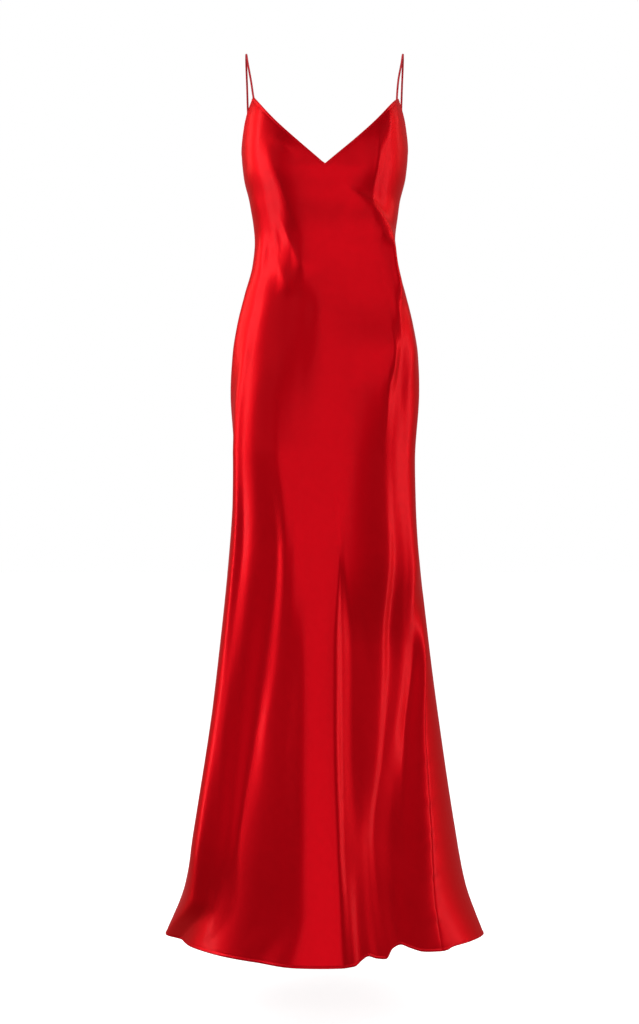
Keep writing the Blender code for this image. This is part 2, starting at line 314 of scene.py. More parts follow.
# %% [markdown]
# ## The columns of the cloth
#
# The cloth is a grid, with a column of points down each line and more columns between the lines.
# Columns that follow the lines keep a lip or a crest sharp with few points, where even ones would
# cut across it. Beside each seam stand four more, close together, for the groove that it makes.

# %% Place the columns
SEAM_SHARES = (-0.05, -0.02, 0.02, 0.05)    # of the way from a seam to the line before or after it


def column_places():
    """Where each column stands between the lines: 2.5 is halfway from the third line to the fourth."""
    places = [i + k / line[1] for i, line in enumerate(LINES) for k in range(line[1])]
    for i, line in enumerate(LINES):
        if line[0] in SEAMS:
            places += [(i + share) % len(LINES) for share in SEAM_SHARES]
    return np.array(sorted(places))


PLACES = column_places()
COLUMNS = len(PLACES)
STARTS = {line[0]: int(np.argmin(np.abs(PLACES - i))) for i, line in enumerate(LINES)}

print(COLUMNS, "columns, the seams at", [STARTS[seam] for seam in SEAMS])


# %% Curves through the lines
def column_bearings(line_bearings):
    """Bearings of the columns from those of the lines, which are rows of one more axis."""
    closed = np.concatenate([line_bearings, line_bearings[:1] + 360])
    return smooth(np.arange(len(closed)), closed, PLACES[:, None] * np.ones((1, closed.shape[1])))


def fold_rises(line_bearings, line_rises, bearings):
    """Rise of the folds at every row and column: a smooth curve through the lines, row by row."""
    rises = np.empty_like(bearings)
    for row in range(len(bearings)):
        knots = line_bearings[:, row]
        heights = line_rises[:, row]
        # the dress closes, so two lines from the far end stand before the first and after the last
        around = np.concatenate([knots[-2:] - 360, knots, knots[:2] + 360])
        values = np.concatenate([heights[-2:], heights, heights[:2]])
        rises[row] = smooth(around, values, bearings[row][None])[0]
    return rises


print("bearings of the top columns from %.0f to %.0f" % tuple(column_bearings(LINE_BEARINGS)[[0, -1], 0]))

# %% [markdown]
# ## The creases
#
# On top of the folds lie the creases of a bias bodice: a pull from the V to the right waist,
# slanting creases under the left bust, and a few pulls and slack folds at the sides and the back.
# Each is a short route down the cloth with a height, a width on either side and soft ends. A crease
# that is steep on one side and slack on the other has two widths. Creases could be sculpted by hand,
# but as rises of the same grid they join it cleanly, and one number moves them.

# %% The creases
CREASES = (
    # name, height, width to the left, width to the right (mm), crispness, soft shares at its top and
    # its foot, and on the second line its route as (bearing, drop)
    ("neck_pull", 5, 50, 10, 1.5, 0.35, 0.35,
     ((2, 238), (17, 266), (32, 284), (43, 308), (54, 334), (70, 362))),
    ("bust_crest", 3, 26, 30, 1.5, 0.3, 0.3,
     ((-44, 165), (-35, 213), (-31, 247), (-27, 284), (-21, 312), (-14, 342))),
    ("bust_fall", 5, 26, 20, 1.3, 0.6, 0.2,
     ((-46, 272), (-38, 306), (-30, 332), (-23, 358), (-16, 384), (-10, 406))),
    ("bust_slant_left", 1, 14, 16, 2, 0.4, 0.4,
     ((-52, 300), (-42, 345), (-30, 385), (-20, 420))),
    ("rib_slant_left", 3.5, 24, 16, 1.6, 0.5, 0.3,
     ((-50, 352), (-38, 388), (-29, 412), (-22, 438))),
    ("neck_crease_left", 2, 9, 12, 2, 0.5, 0.5,
     ((-38, 165), (-26, 182), (-10, 208))),
    ("back_pull_right", 5, 34, 12, 1.5, 0.4, 0.3,
     ((112, 232), (122, 268), (136, 312), (150, 350), (166, 380))),
    ("back_pull_left", 4, 12, 30, 1.6, 0.3, 0.4,
     ((246, 250), (232, 300), (214, 352), (200, 396))),
    ("back_waist_1", 3, 16, 22, 1.8, 0.5, 0.5,
     ((128, 352), (146, 392), (170, 428), (190, 452))),
    ("back_waist_2", 2.5, 18, 12, 2, 0.5, 0.5,
     ((238, 372), (224, 410), (206, 446))),
    ("back_waist_3", 2, 14, 14, 2, 0.5, 0.5,
     ((150, 320), (168, 352), (186, 366), (204, 352))),
    ("side_pull_right", 2, 12, 14, 2, 0.5, 0.5,
     ((100, 262), (108, 300), (118, 342))),
    ("side_pull_left", 2, 14, 12, 2, 0.5, 0.5,
     ((262, 236), (254, 280), (246, 330))),
    ("hip_ease", 2, 26, 26, 2, 0.5, 0.5,
     ((142, 500), (156, 552), (164, 610))),
)

print("creases:", [row[0] for row in CREASES])


# %% How far a crease rises
def ease(u):
    """From 0 to 1 with a soft start and a soft end."""
    u = np.clip(u, 0, 1)
    return u * u * (3 - 2 * u)


def crease_rises(bearing, drop):
    """Rise of all the creases at arrays of bearing and drop."""
    side = smooth(SECTIONS[:, 0], SECTIONS[:, 1], drop)
    across = np.radians(bearing) * side
    total = np.zeros_like(drop)
    for _, height, left, right, crisp, top_soft, foot_soft, route in CREASES:
        turns, drops = (np.array(values, float) for values in zip(*route))
        half_widths = smooth(SECTIONS[:, 0], SECTIONS[:, 1], drops[None])[0]
        xs = np.radians(turns) * half_widths
        lengths = np.hypot(np.diff(xs), np.diff(drops))
        before = np.concatenate([[0], np.cumsum(lengths)])
        nearest = np.full(drop.shape, np.inf)
        width = np.ones_like(drop)
        along = np.zeros_like(drop)
        for i, length in enumerate(lengths):
            ux, uz = (xs[i + 1] - xs[i]) / length, (drops[i + 1] - drops[i]) / length
            t = np.clip((across - xs[i]) * ux + (drop - drops[i]) * uz, 0, length)
            dx, dz = across - xs[i] - t * ux, drop - drops[i] - t * uz
            away = np.hypot(dx, dz)
            better = away < nearest
            nearest = np.where(better, away, nearest)
            width = np.where(better, np.where(dx * uz - dz * ux < 0, left, right), width)
            along = np.where(better, (before[i] + t) / before[-1], along)
        ends = ease(along / top_soft) * ease((1 - along) / foot_soft)
        total += height * ends * np.exp(-(nearest / width) ** crisp)
    return total


print("the pull from the V rises %.1f mm" % crease_rises(np.array([[38.0]]), np.array([[296.0]])).max())

# %% [markdown]
# ## The turn of the bodice
#
# The bias lets the bodice hang a little turned: its right front stands out and is flat, and its left
# front lies back and faces more to the side. To turn the whole section would move the side seams
# too, so a table gives the rises by bearing, at a few drops.

# %% The turn of the bodice
TURN_BEARINGS = (-90, -72, -56, -42, -28, -14, 0, 14, 24, 30, 33, 35, 38.5, 40, 46, 49, 51, 58, 72, 90)
TURN = (
    # drop, rises at the bearings, mm
    (140, (0, 0, 0, 0, 0, 0, 0, 0.5, 4.5, 8.5, 10.2, 11.3, 13.5, 14, 12, 10.8, 10, 6, 1, 0)),
    (200, (0, 0, -1, -2, -1, -1, 0, 1, 5.5, 8.5, 10.2, 9.2, 7.3, 6.6, 5, 4.6, 4.4, 3.6, 2, 0)),
    (260, (0, 0, -4, -5, -3, -1, 0, 3, 4.6, 5.6, 6.2, 5.5, 4.4, 4.1, 3.6, 3.5, 3.4, 3.4, 2.2, 0)),
    (300, (0, -3, -7, -8, -5, -2, 0, 5, 9.2, 11.7, 13, 13.6, 14, 14, 13.8, 13.4, 13, 11, 5, 0)),
    (330, (0, -5, -10, -11, -7, -2, 0, 6, 10, 13.5, 16, 17.5, 20, 21, 22, 21, 20, 14, 4, 0)),
    (355, (0, -6, -12, -13, -9, -2, 0, 4, 8, 11.5, 14, 15.6, 18.8, 20, 26, 29.5, 27, 17, 5, 0)),
    (400, (0, -8, -13, -14, -10.5, -3, 0, 2.5, 6.5, 10.5, 13, 15, 18.5, 20.5, 28, 32, 30, 19, 5, 0)),
    (460, (0, -11, -15, -15, -14, -9, 0, 1, 4.5, 8.5, 11, 13, 17, 18.6, 24, 22.5, 21.2, 18, 5, 0)),
    (520, (0, -10, -15, -15, -13, -8, 0, 2, 6.5, 10.8, 13.5, 15.5, 19, 20.5, 17.7, 16.8, 16.6, 16, 6, 0)),
    (610, (0, -5, -9, -8, -8, -4, 0, 0, 1, 2.1, 3, 3.6, 4.2, 3.2, 0.8, 0.2, 0, 1, 1, 0)),
    (700, (0, 0, 0, 0, 0, 0, 0, 0, 0, 0, 0, 0, 0, 0, 0, 0, 0, 0, 0, 0)),
)


def turn_rises(bearing, drop):
    """Rise that turns the bodice, at arrays of bearing and drop."""
    drops = [row[0] for row in TURN]
    heights = np.array([row[1] for row in TURN], float)
    flat = drop.reshape(1, -1)
    levels = np.concatenate([smooth(drops, column, flat) for column in heights.T])
    return smooth(TURN_BEARINGS, levels, bearing.reshape(1, -1)).reshape(drop.shape)


print("turn: from %d to %d mm" % (min(min(row[1]) for row in TURN), max(max(row[1]) for row in TURN)))

# %% [markdown]
# ## The cut of the top edge
#
# The front rises from the V to two points, the armholes fall from the points to the side seams, and
# the back is scooped low. A boolean cut out of a taller tube would leave slivers, so the edge is a
# drop for every bearing, and the rows of the grid start from it.

# %% The top edge
NECK_DROP = 219.0                     # mm, the foot of the V
NECK_CURVE = 21.0                     # mm of its rise that come in a curve near the points
POINT_DROP = 92.0                     # mm, the points where the straps begin
POINT_HALF_WIDTHS = (121.0, 127.0)    # mm, left and right
POINT_BEARING = 66.0                  # degrees
UNDERARM_DROP = 177.0                 # mm, at the side seams
BACK_SEAT_DROP = 185.0                # mm, where the straps end
BACK_SEAT_BEARING = 113.0             # degrees
SCOOP_DROP = 300.0                    # mm, the foot of the scooped back
EDGE_PASSES = 8                       # as the rise depends on the drop and the drop on the rise


def top_drops(bearing):
    """Drop of the top edge at an array of bearings."""
    turn = np.abs((bearing + 180) % 360 - 180)
    half_width = np.where((bearing + 360) % 360 < 180, POINT_HALF_WIDTHS[1], POINT_HALF_WIDTHS[0])
    straight = NECK_DROP - POINT_DROP - NECK_CURVE
    drop = np.full(turn.shape, NECK_DROP)
    for _ in range(EDGE_PASSES):
        rise = turn_rises(bearing[None], drop[None])
        across = cloth_points(turn[None], drop[None], rise)[0, :, 0] / half_width
        drop = NECK_DROP - straight * across - NECK_CURVE * across ** 4
    share = np.clip((turn - POINT_BEARING) / (90 - POINT_BEARING), 0, 1)
    armhole = POINT_DROP + (UNDERARM_DROP - POINT_DROP) * np.sin(np.pi / 2 * share)
    behind = UNDERARM_DROP + (BACK_SEAT_DROP - UNDERARM_DROP) * (turn - 90) / (BACK_SEAT_BEARING - 90)
    share = np.clip((turn - BACK_SEAT_BEARING) / (180 - BACK_SEAT_BEARING), 0, 1)
    scoop = BACK_SEAT_DROP + (SCOOP_DROP - BACK_SEAT_DROP) * np.sin(np.pi / 2 * share)
    return np.select([turn <= POINT_BEARING, turn <= 90, turn <= BACK_SEAT_BEARING],
                     [drop, armhole, behind], scoop)


print("top edge at the V, a point, a seam and the back:",
      top_drops(np.array([0, POINT_BEARING, 90, 180])).round(), "mm down")

# %% [markdown]
# ## The rows of the cloth
#
# Rows of cloth follow the top edge down to a yoke level, and from there they run level, so that both
# edges are clean and the skirt is even. They are close together at the two edges, which are turned
# and stitched, and down the lower skirt, where a seam is puckered.

# %% The rows
YOKE_DROP = 345.0           # mm
PUCKER_DROP = 1110.0        # from here down the rows are closer
YOKE_ROWS = 46
SKIRT_ROWS = 135
LOWER_ROWS = 110
EDGE_ROWS = (0.0, 0.7, 1.4, 2.2, 3.0, 3.6, 4.2, 5.0, 6.5)           # mm below the top edge
HEM_ROWS = (8.0, 6.0, 4.8, 4.0, 3.4, 2.8, 2.0, 1.3, 0.6, 0.0)       # mm above the hem


def row_drops():
    """Drop of every row and column."""
    top = top_drops(column_bearings(LINE_BEARINGS[:, :1])[:, 0])
    edge = np.array(EDGE_ROWS)[:, None] + top
    share = (np.arange(1, YOKE_ROWS + 1) / YOKE_ROWS)[:, None]
    yoke = edge[-1] + (YOKE_DROP - edge[-1]) * share
    hem = HEM_DROP - np.array(HEM_ROWS)
    skirt = np.linspace(YOKE_DROP, PUCKER_DROP, SKIRT_ROWS + 1)[1:]
    lower = np.linspace(PUCKER_DROP, hem[0], LOWER_ROWS + 1)[1:-1]
    level = np.concatenate([skirt, lower, hem])[:, None] * np.ones((1, COLUMNS))
    return np.concatenate([edge, yoke, level])


CUT_DROPS = row_drops()
print(len(CUT_DROPS), "rows of cloth")

# %% [markdown]
# ## The uneven hem
#
# A bias hem is seldom level: the cloth stretches more in some places than in others. A random wave
# would look uneven too, but each dip belongs to a fold, so the lift is a table by bearing. It fades
# up the skirt, so that the cloth above the hem is not crushed.

# %% Lift the hem
LIFT_DROP = 1250.0          # mm; above this nothing is lifted
HEM_LIFT = (
    # bearing, mm the hem hangs higher there
    (-180, 0), (0, 0), (10, 0), (14, 8), (16, 11), (20, 5), (24, 2), (28, 16), (32, 20), (36, 13), (41, 5),
    (46, 2), (52, 0), (57, 4), (69, 4), (84, 2), (110, 0), (180, 0),
)


def hem_lifts(bearing, drop):
    """How much higher the cloth hangs where the bias has drawn the hem up, in mm."""
    table = np.array(HEM_LIFT, float)
    turn = (bearing + 180) % 360 - 180
    lift = smooth(table[:, 0], table[:, 1], turn.reshape(1, -1)).reshape(turn.shape)
    return lift * ease((drop - LIFT_DROP) / (HEM_DROP - LIFT_DROP))


ROW_DROPS = np.tile(CUT_DROPS.mean(axis=1)[:, None], (1, len(LINES)))
KNOTS = smooth(LEVELS, LINE_BEARINGS.T, ROW_DROPS).T
HEIGHTS = smooth(LEVELS, LINE_RISES.T, ROW_DROPS).T
BEARINGS = column_bearings(KNOTS).T
DROPS = CUT_DROPS - hem_lifts(BEARINGS, CUT_DROPS)
print("hem drawn up by as much as %.0f mm" % (CUT_DROPS - DROPS).max())

# %% [markdown]
# ## The surface
#
# A bearing, a drop and a rise give a point. The rise is the sum of the folds, the creases and the
# turn, so each can be changed alone. The normals follow from the points on all four sides, and give
# the cloth its thickness and the stitches their seat.

# %% Put the grid together
RISES = (fold_rises(KNOTS, HEIGHTS, BEARINGS) + crease_rises(BEARINGS, DROPS)
         + turn_rises(BEARINGS, DROPS))
GRID = cloth_points(BEARINGS, DROPS, RISES)


def unit(vectors):
    """The same directions, each one long."""
    return vectors / np.linalg.norm(vectors, axis=-1, keepdims=True)


def outward_normals(grid):
    """Unit normals of the grid, which closes round the dress."""
    round_way = np.roll(grid, -1, 1) - np.roll(grid, 1, 1)
    down = np.empty_like(grid)
    down[1:-1] = grid[2:] - grid[:-2]
    down[0], down[-1] = grid[1] - grid[0], grid[-1] - grid[-2]
    return unit(np.cross(down, round_way))


NORMALS = outward_normals(GRID)
print("grid of %d x %d points, highest rise %.1f, deepest %.1f mm"
      % (*GRID.shape[:2], RISES.max(), RISES.min()))

# %% [markdown]
# ## The side seams
#
# A seam sinks a little between the panels. Thread does not stretch as a bias edge does, so the lower
# right seam is puckered: short, uneven ripples that fade within a finger's width of it. A bump in the
# material would catch the light too, but ripples in the mesh stay when the material is changed.

# %% Sink the seams and pucker one
SEAM_SINK = 0.35            # mm
SEAM_HALF_WIDTH = 2.0       # mm
PUCKERS = ((23.0, 0.28, 0.4), (37.0, 0.35, 1.9), (61.0, 0.25, 0.8))    # period, height (mm), start (radians)
PUCKER_REACH = 13.0         # mm from the seam
PUCKER_SLANT = 30.0         # mm from the seam that turn a ripple by one radian
PUCKER_GROWTH = 160.0       # mm down the seam in which they grow


def seam_distances(seam):
    """Signed distance in mm from a seam, along every row; each row closes round the dress."""
    steps = np.linalg.norm(np.roll(GRID, -1, 1) - GRID, axis=-1)
    along = np.cumsum(steps, axis=1) - steps
    away = along - along[:, STARTS[seam]][:, None]
    length = steps.sum(axis=1)[:, None]
    return (away + length / 2) % length - length / 2


def seam_offsets():
    """How far the seams move the cloth outwards, in mm."""
    offsets = np.zeros(DROPS.shape)
    for seam in SEAMS:
        offsets -= SEAM_SINK * np.exp(-(seam_distances(seam) / SEAM_HALF_WIDTH) ** 2)
    away = seam_distances("right_seam")
    ripple = sum(height * np.sin(math.tau * DROPS / period + start + away / PUCKER_SLANT)
                 for period, height, start in PUCKERS)
    begin = ease((DROPS - PUCKER_DROP) / PUCKER_GROWTH)
    return offsets + ripple * begin * np.exp(-np.abs(away) / PUCKER_REACH)


GRID += NORMALS * seam_offsets()[..., None]
NORMALS = outward_normals(GRID)
print("seams sink %.2f mm and ripple up to %.2f mm" % (SEAM_SINK, sum(row[1] for row in PUCKERS)))

# %% [markdown]
# ## The satin
#
# Silk satin: most of the warp lies on the face, so the face is smooth and glossy and its highlights
# keep the colour of the silk, while the back is duller. A glossy red plastic would shine white, and
# sheen would light only the rims, so the face is partly metallic: that tints what it mirrors, as the
# dyed threads do. A thin coat adds the sharper glint of their polish. The weave, the slubs and the
# fine creases of handling are too small to model, so they are bumps and a play of roughness.

# %% The weave
WAVE_TURN = math.tau / 20   # a wave texture of this scale has one band a metre
WEAVE_PERIOD = 0.8          # mm; real satin has a warp end each 0.1 mm, too fine to see, so drawn coarse
WEAVE_HEIGHT = 0.004        # mm
WEAVE_WANDER = 0.6          # how much the threads stray
SLUB_SIZE = 9.0             # mm, from one duller patch to the next
SLUB_RANGE = (0.3, 0.7)     # noise lies mostly between these
GLOSS_SPREAD = 0.03         # roughness either way
HANDLING_SIZE = 38.0        # mm, of the soft creases of handling
HANDLING_HEIGHT = 0.35      # mm


def new_material(name, inputs):
    """A material whose main shader has these inputs, with its nodes and that shader."""
    material = bpy.data.materials.new(name)
    material.use_nodes = True
    shader = material.node_tree.nodes["Principled BSDF"]
    for socket, value in inputs.items():
        shader.inputs[socket].default_value = value
    return material, material.node_tree, shader


def add_weave(tree, shader, roughness, crease_size=HANDLING_SIZE, crease_height=HANDLING_HEIGHT):
    """Gives a shader the bias weave, the uneven gloss and the fine creases of silk."""
    place = add_node(tree, "TexCoord")
    bias = add_node(tree, "Mapping", links={
        "Vector": place.outputs["Object"], "Rotation": (0, math.radians(45), 0)})
    lines = add_node(tree, "TexWave", {"bands_direction": "X"}, {
        "Vector": bias.outputs["Vector"], "Scale": WAVE_TURN / (WEAVE_PERIOD * MM),
        "Distortion": WEAVE_WANDER})
    slubs = add_node(tree, "TexNoise", links={
        "Vector": bias.outputs["Vector"], "Scale": 1 / (SLUB_SIZE * MM), "Detail": 3.0})
    gloss = add_node(tree, "MapRange", links={
        "Value": slubs.outputs["Fac"], "From Min": SLUB_RANGE[0], "From Max": SLUB_RANGE[1],
        "To Min": roughness - GLOSS_SPREAD, "To Max": roughness + GLOSS_SPREAD})
    tree.links.new(gloss.outputs["Result"], shader.inputs["Roughness"])
    creases = add_node(tree, "TexNoise", links={
        "Vector": place.outputs["Object"], "Scale": 1 / (crease_size * MM), "Detail": 1.5})
    soft = add_node(tree, "Bump", links={
        "Height": creases.outputs["Fac"], "Distance": crease_height * MM})
    fine = add_node(tree, "Bump", links={
        "Height": lines.outputs["Fac"], "Normal": soft.outputs["Normal"],
        "Distance": WEAVE_HEIGHT * MM})
    tree.links.new(fine.outputs["Normal"], shader.inputs["Normal"])


print("weave drawn %.1f mm wide" % WEAVE_PERIOD)


# %% The two sides of the satin
def silk_satin_face():
    """Silk satin, warp side: smooth floats mirror the room softly and tint what they mirror."""
    material, tree, shader = new_material("silk_satin_face", {
        "Base Color": hex_to_linear("#D30012"), "Metallic": 0.82, "IOR": 1.5,
        "Specular IOR Level": 0.4, "Specular Tint": hex_to_linear("#FF7070"),
        "Coat Weight": 0.05, "Coat Roughness": 0.18})
    add_weave(tree, shader, roughness=0.42)
    return material


def silk_satin_back():
    """The weft side of the same cloth: broken by the binding threads, so matt and a little darker."""
    material, tree, shader = new_material("silk_satin_back", {
        "Base Color": hex_to_linear("#B40012"), "IOR": 1.5})
    add_weave(tree, shader, roughness=0.7)
    return material


SATIN_FACE = silk_satin_face()
SATIN_BACK = silk_satin_back()
print("materials:", SATIN_FACE.name, SATIN_BACK.name)

# %% [markdown]
# ## The rouleau and the thread
#
# The straps are the same silk, which gathers in fine rings when the sewn tube is turned, so they
# glint less. The thread is twisted polyester, duller than silk. Its plies could be modelled as a
# rope, but a stitch is so small that a fine unevenness in colour and height says the same.

# %% The materials of the straps and the thread
RING_SIZE = 2.5             # mm, from one gather of a strap to the next
RING_HEIGHT = 0.12          # mm
FUZZ_SIZE = 0.6             # mm; the plies of a sewing thread show about every half millimetre
FUZZ_HEIGHT = 0.05          # mm
MIX_A, MIX_B, MIX_RESULT = 6, 7, 2    # the colour sockets of a Mix node


def silk_rouleau():
    """The same silk cut on the bias and sewn as a thin tube: it gathers in rings and shines less."""
    material, tree, shader = new_material("silk_rouleau", {
        "Base Color": hex_to_linear("#B80016"), "Metallic": 0.6, "IOR": 1.5})
    add_weave(tree, shader, 0.48, RING_SIZE, RING_HEIGHT)
    return material


def polyester_thread():
    """Twisted sewing thread, dyed to match: duller than the silk, with a little spread of colour."""
    material, tree, shader = new_material("polyester_thread", {"Roughness": 0.55})
    place = add_node(tree, "TexCoord")
    fuzz = add_node(tree, "TexNoise", links={
        "Vector": place.outputs["Object"], "Scale": 1 / (FUZZ_SIZE * MM), "Detail": 2.0})
    shade = add_node(tree, "Mix", {"data_type": "RGBA"}, {
        "Factor": fuzz.outputs["Fac"], MIX_A: hex_to_linear("#A00010"), MIX_B: hex_to_linear("#C4061C")})
    tree.links.new(shade.outputs[MIX_RESULT], shader.inputs["Base Color"])
    bump = add_node(tree, "Bump", links={
        "Height": fuzz.outputs["Fac"], "Distance": FUZZ_HEIGHT * MM})
    tree.links.new(bump.outputs["Normal"], shader.inputs["Normal"])
    return material


ROULEAU = silk_rouleau()
THREAD = polyester_thread()
print("materials:", ROULEAU.name, THREAD.name)

# %% [markdown]
# ## The panels
#
# Each panel is a closed wall as thin as it can be drawn. Along the top edge the cloth is turned once
# and stitched, so it is thicker there and dips just below; the hem is rolled into a fine cord. A
# Solidify modifier would give one thickness all over, so the wall is built from the grid instead,
# with its own thickness in each row. The outer face is the shiny side and the inner face the dull one.

# %% The thickness of the cloth
WALL = 0.7                  # mm; real silk satin is 0.2 mm, too thin for clean shadows
SEAM_GAP = 0.2              # mm between the panels
# mm that the outer face stands out at EDGE_ROWS and at HEM_ROWS; the inner face stands in by half
EDGE_TURN = (0.0, 0.35, 0.5, 0.5, 0.3, 0.45, 0.2, -0.15, 0.0)
HEM_ROLL = (0.0, 0.0, -0.15, 0.1, 0.35, 0.6, 0.75, 0.75, 0.5, 0.1)
THICKER = np.zeros(len(DROPS))
THICKER[:len(EDGE_ROWS)] = EDGE_TURN
THICKER[-len(HEM_ROWS):] = HEM_ROLL

print("cloth %.1f mm thick, up to %.2f mm at the turned edge" % (WALL, WALL + 1.5 * max(EDGE_TURN)))

# %% Make the panels
SPANS = {"front": (STARTS["left_seam"], STARTS["right_seam"]), "back": (STARTS["right_seam"], COLUMNS)}


def new_mesh(name, vertices, faces, *materials):
    """A smooth mesh of these materials; vertices is an array in metres."""
    mesh = bpy.data.meshes.new(name)
    mesh.from_pydata(vertices.tolist(), [], faces)
    for material in materials:
        mesh.materials.append(material)
    mesh.shade_smooth()
    return mesh


def panel_mesh(name, first, last):
    """A panel as a closed wall from one column to another."""
    picks = np.arange(first, last + 1) % COLUMNS
    middle = GRID[:, picks].copy()
    normal = NORMALS[:, picks]
    for edge, beside in ((0, 1), (-1, -2)):
        middle[:, edge] += unit(middle[:, beside] - middle[:, edge]) * SEAM_GAP / 2
    rows, wide = middle.shape[:2]
    outer = middle + normal * (WALL / 2 + THICKER)[:, None, None]
    inner = middle - normal * (WALL / 2 + THICKER / 2)[:, None, None]
    vertices = np.concatenate([outer.reshape(-1, 3), inner.reshape(-1, 3)]) * MM
    index = np.arange(rows * wide).reshape(rows, wide)
    a, b, c, d = index[:-1, :-1], index[1:, :-1], index[1:, 1:], index[:-1, 1:]
    shift = rows * wide
    faces = [np.stack([a, b, c, d], -1).reshape(-1, 4), np.stack([a, d, c, b], -1).reshape(-1, 4) + shift]
    for border in (index[0, ::-1], index[-1], index[:, 0], index[::-1, -1]):
        faces.append(np.stack([border[:-1], border[:-1] + shift, border[1:] + shift, border[1:]], -1))
    faces = np.concatenate(faces)
    mesh = new_mesh(name, vertices, faces.tolist(), SATIN_FACE, SATIN_BACK)
    quads = (rows - 1) * (wide - 1)
    slots = np.zeros(len(faces), dtype=np.int32)
    slots[quads:2 * quads] = 1
    mesh.polygons.foreach_set("material_index", slots)
    mesh.validate()
    return mesh


def make_panel(name, node):
    """A panel of satin in place of its node."""
    panel = add_object(name, panel_mesh(name, *SPANS[node]))
    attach(panel, "root")
    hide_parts(node)
    print(name, len(panel.data.polygons), "faces")
    return panel


FRONT = make_panel("front_panel", "front")
BACK = make_panel("back_panel", "back")

# %% [markdown]
# ## The stitching
#
# One line of small stitches holds the turned top edge and another the rolled hem. A stitch is a
# short rounded bar that dips at both ends. Where a strap is sewn in, four bars side by side tack it.
# A texture of dashes would look painted on; bars follow the rows of the cloth and cast shadows.

# %% The stitches
STITCH_LENGTH = 2.2         # mm
EDGE_PITCH = 3.0            # mm from one stitch to the next
HEM_PITCH = 3.5
ONE_STITCH = 100.0          # mm; a pitch longer than the line gives it a single stitch
THREAD_RADIUS = 0.17        # mm
STITCH_SIDES = 6
STITCH_RINGS = (
    # share of the length, share of the radius, mm above the cloth
    (-0.50, 0.35, -0.10), (-0.32, 0.90, 0.03), (0.0, 1.0, 0.10), (0.32, 0.90, 0.03), (0.50, 0.35, -0.10),
)
EDGE_STITCH_ROW = EDGE_ROWS.index(3.0)
HEM_STITCH_ROW = HEM_ROWS.index(3.4) - len(HEM_ROWS)


def panel_line(row, first, last):
    """Points on the outer face along a row of a panel, clear of its seams, and their normals."""
    picks = np.arange(first + 2, last - 1) % COLUMNS
    normals = NORMALS[row, picks]
    return GRID[row, picks] + normals * (WALL / 2 + THICKER[row]), normals


def distances_along(points):
    """How far along a line each of its points lies, in mm."""
    return np.concatenate([[0], np.cumsum(np.linalg.norm(np.diff(points, axis=0), axis=1))])


def stitches_along(points, normals, pitch, length):
    """Vertices of the stitches on a line: one block of rings for each stitch."""
    along = distances_along(points)
    count = max(1, int(along[-1] / pitch))
    middles = (np.arange(count) + 0.5) * along[-1] / count
    shares, radii, heights = np.array(STITCH_RINGS).T
    at = middles[:, None] + shares * length
    centre = np.stack([np.interp(at, along, points[:, k]) for k in range(3)], -1)
    up = np.stack([np.interp(at, along, normals[:, k]) for k in range(3)], -1)
    side = unit(np.cross(np.gradient(centre, axis=1), up))
    turns = np.arange(STITCH_SIDES) * math.tau / STITCH_SIDES
    ring = np.cos(turns)[:, None] * side[:, :, None] + np.sin(turns)[:, None] * up[:, :, None]
    centre = centre + up * heights[:, None]
    return (centre[:, :, None] + ring * (THREAD_RADIUS * radii)[:, None, None]).reshape(-1, 3)


print("stitches every %.1f mm at the edge and %.1f mm at the hem" % (EDGE_PITCH, HEM_PITCH))

# %% The tacks
TACK_LENGTH = 3.2           # mm
TACK_ROWS = (3.0, 3.6, 4.2, 4.8)    # mm below the edge
TACK_REACH = 1.0            # degrees to either side of a strap's end
TACK_CLEAR = 0.5            # mm, just above the turned edge
TACKS = {"front": (-POINT_BEARING, POINT_BEARING), "back": (BACK_SEAT_BEARING, 360 - BACK_SEAT_BEARING)}


def tack_lines(bearings):
    """Short level lines across the turned edge at the ends of the straps."""
    for bearing in bearings:
        edge = float(top_drops(np.array([bearing]))[0])
        for below in TACK_ROWS:
            turn = bearing + np.linspace(-TACK_REACH, TACK_REACH, 5)[None]
            drop = np.full(turn.shape, edge + below)
            points = cloth_points(turn, drop, turn_rises(turn, drop))[0]
            normals = unit(points * (1, 1, 0))
            yield points + normals * (WALL / 2 + TACK_CLEAR), normals


print("tacks at bearings", TACKS)


# %% Sew the edges
def tube_faces(rings, sides, first):
    """Faces of a closed tube whose rings of vertices follow one another."""
    index = first + np.arange(rings * sides).reshape(rings, sides)
    beside = np.roll(index, -1, 1)
    walls = np.stack([index[:-1], beside[:-1], beside[1:], index[1:]], -1).reshape(-1, 4)
    return walls.tolist() + [index[0, ::-1].tolist(), index[-1].tolist()]


def make_tubes(name, vertices, rings, sides, material):
    """One piece of one or many tubes of equal count of rings."""
    faces = []
    for first in range(0, len(vertices), rings * sides):
        faces += tube_faces(rings, sides, first)
    piece = add_object(name, new_mesh(name, vertices * MM, faces, material))
    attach(piece, "root")
    print(name, len(vertices) // (rings * sides), "tubes,", len(faces), "faces")
    return piece


def sew(side):
    """The stitches of a panel: its turned edge with the strap tacks, and its hem."""
    edge = [stitches_along(*panel_line(EDGE_STITCH_ROW, *SPANS[side]), EDGE_PITCH, STITCH_LENGTH)]
    for points, normals in tack_lines(TACKS[side]):
        edge.append(stitches_along(points, normals, ONE_STITCH, TACK_LENGTH))
    hem = stitches_along(*panel_line(HEM_STITCH_ROW, *SPANS[side]), HEM_PITCH, STITCH_LENGTH)
    return [make_tubes(side + name, vertices, len(STITCH_RINGS), STITCH_SIDES, THREAD)
            for name, vertices in (("_edge_stitches", np.concatenate(edge)), ("_hem_stitches", hem))]


STITCHES = {side: sew(side) for side in SPANS}

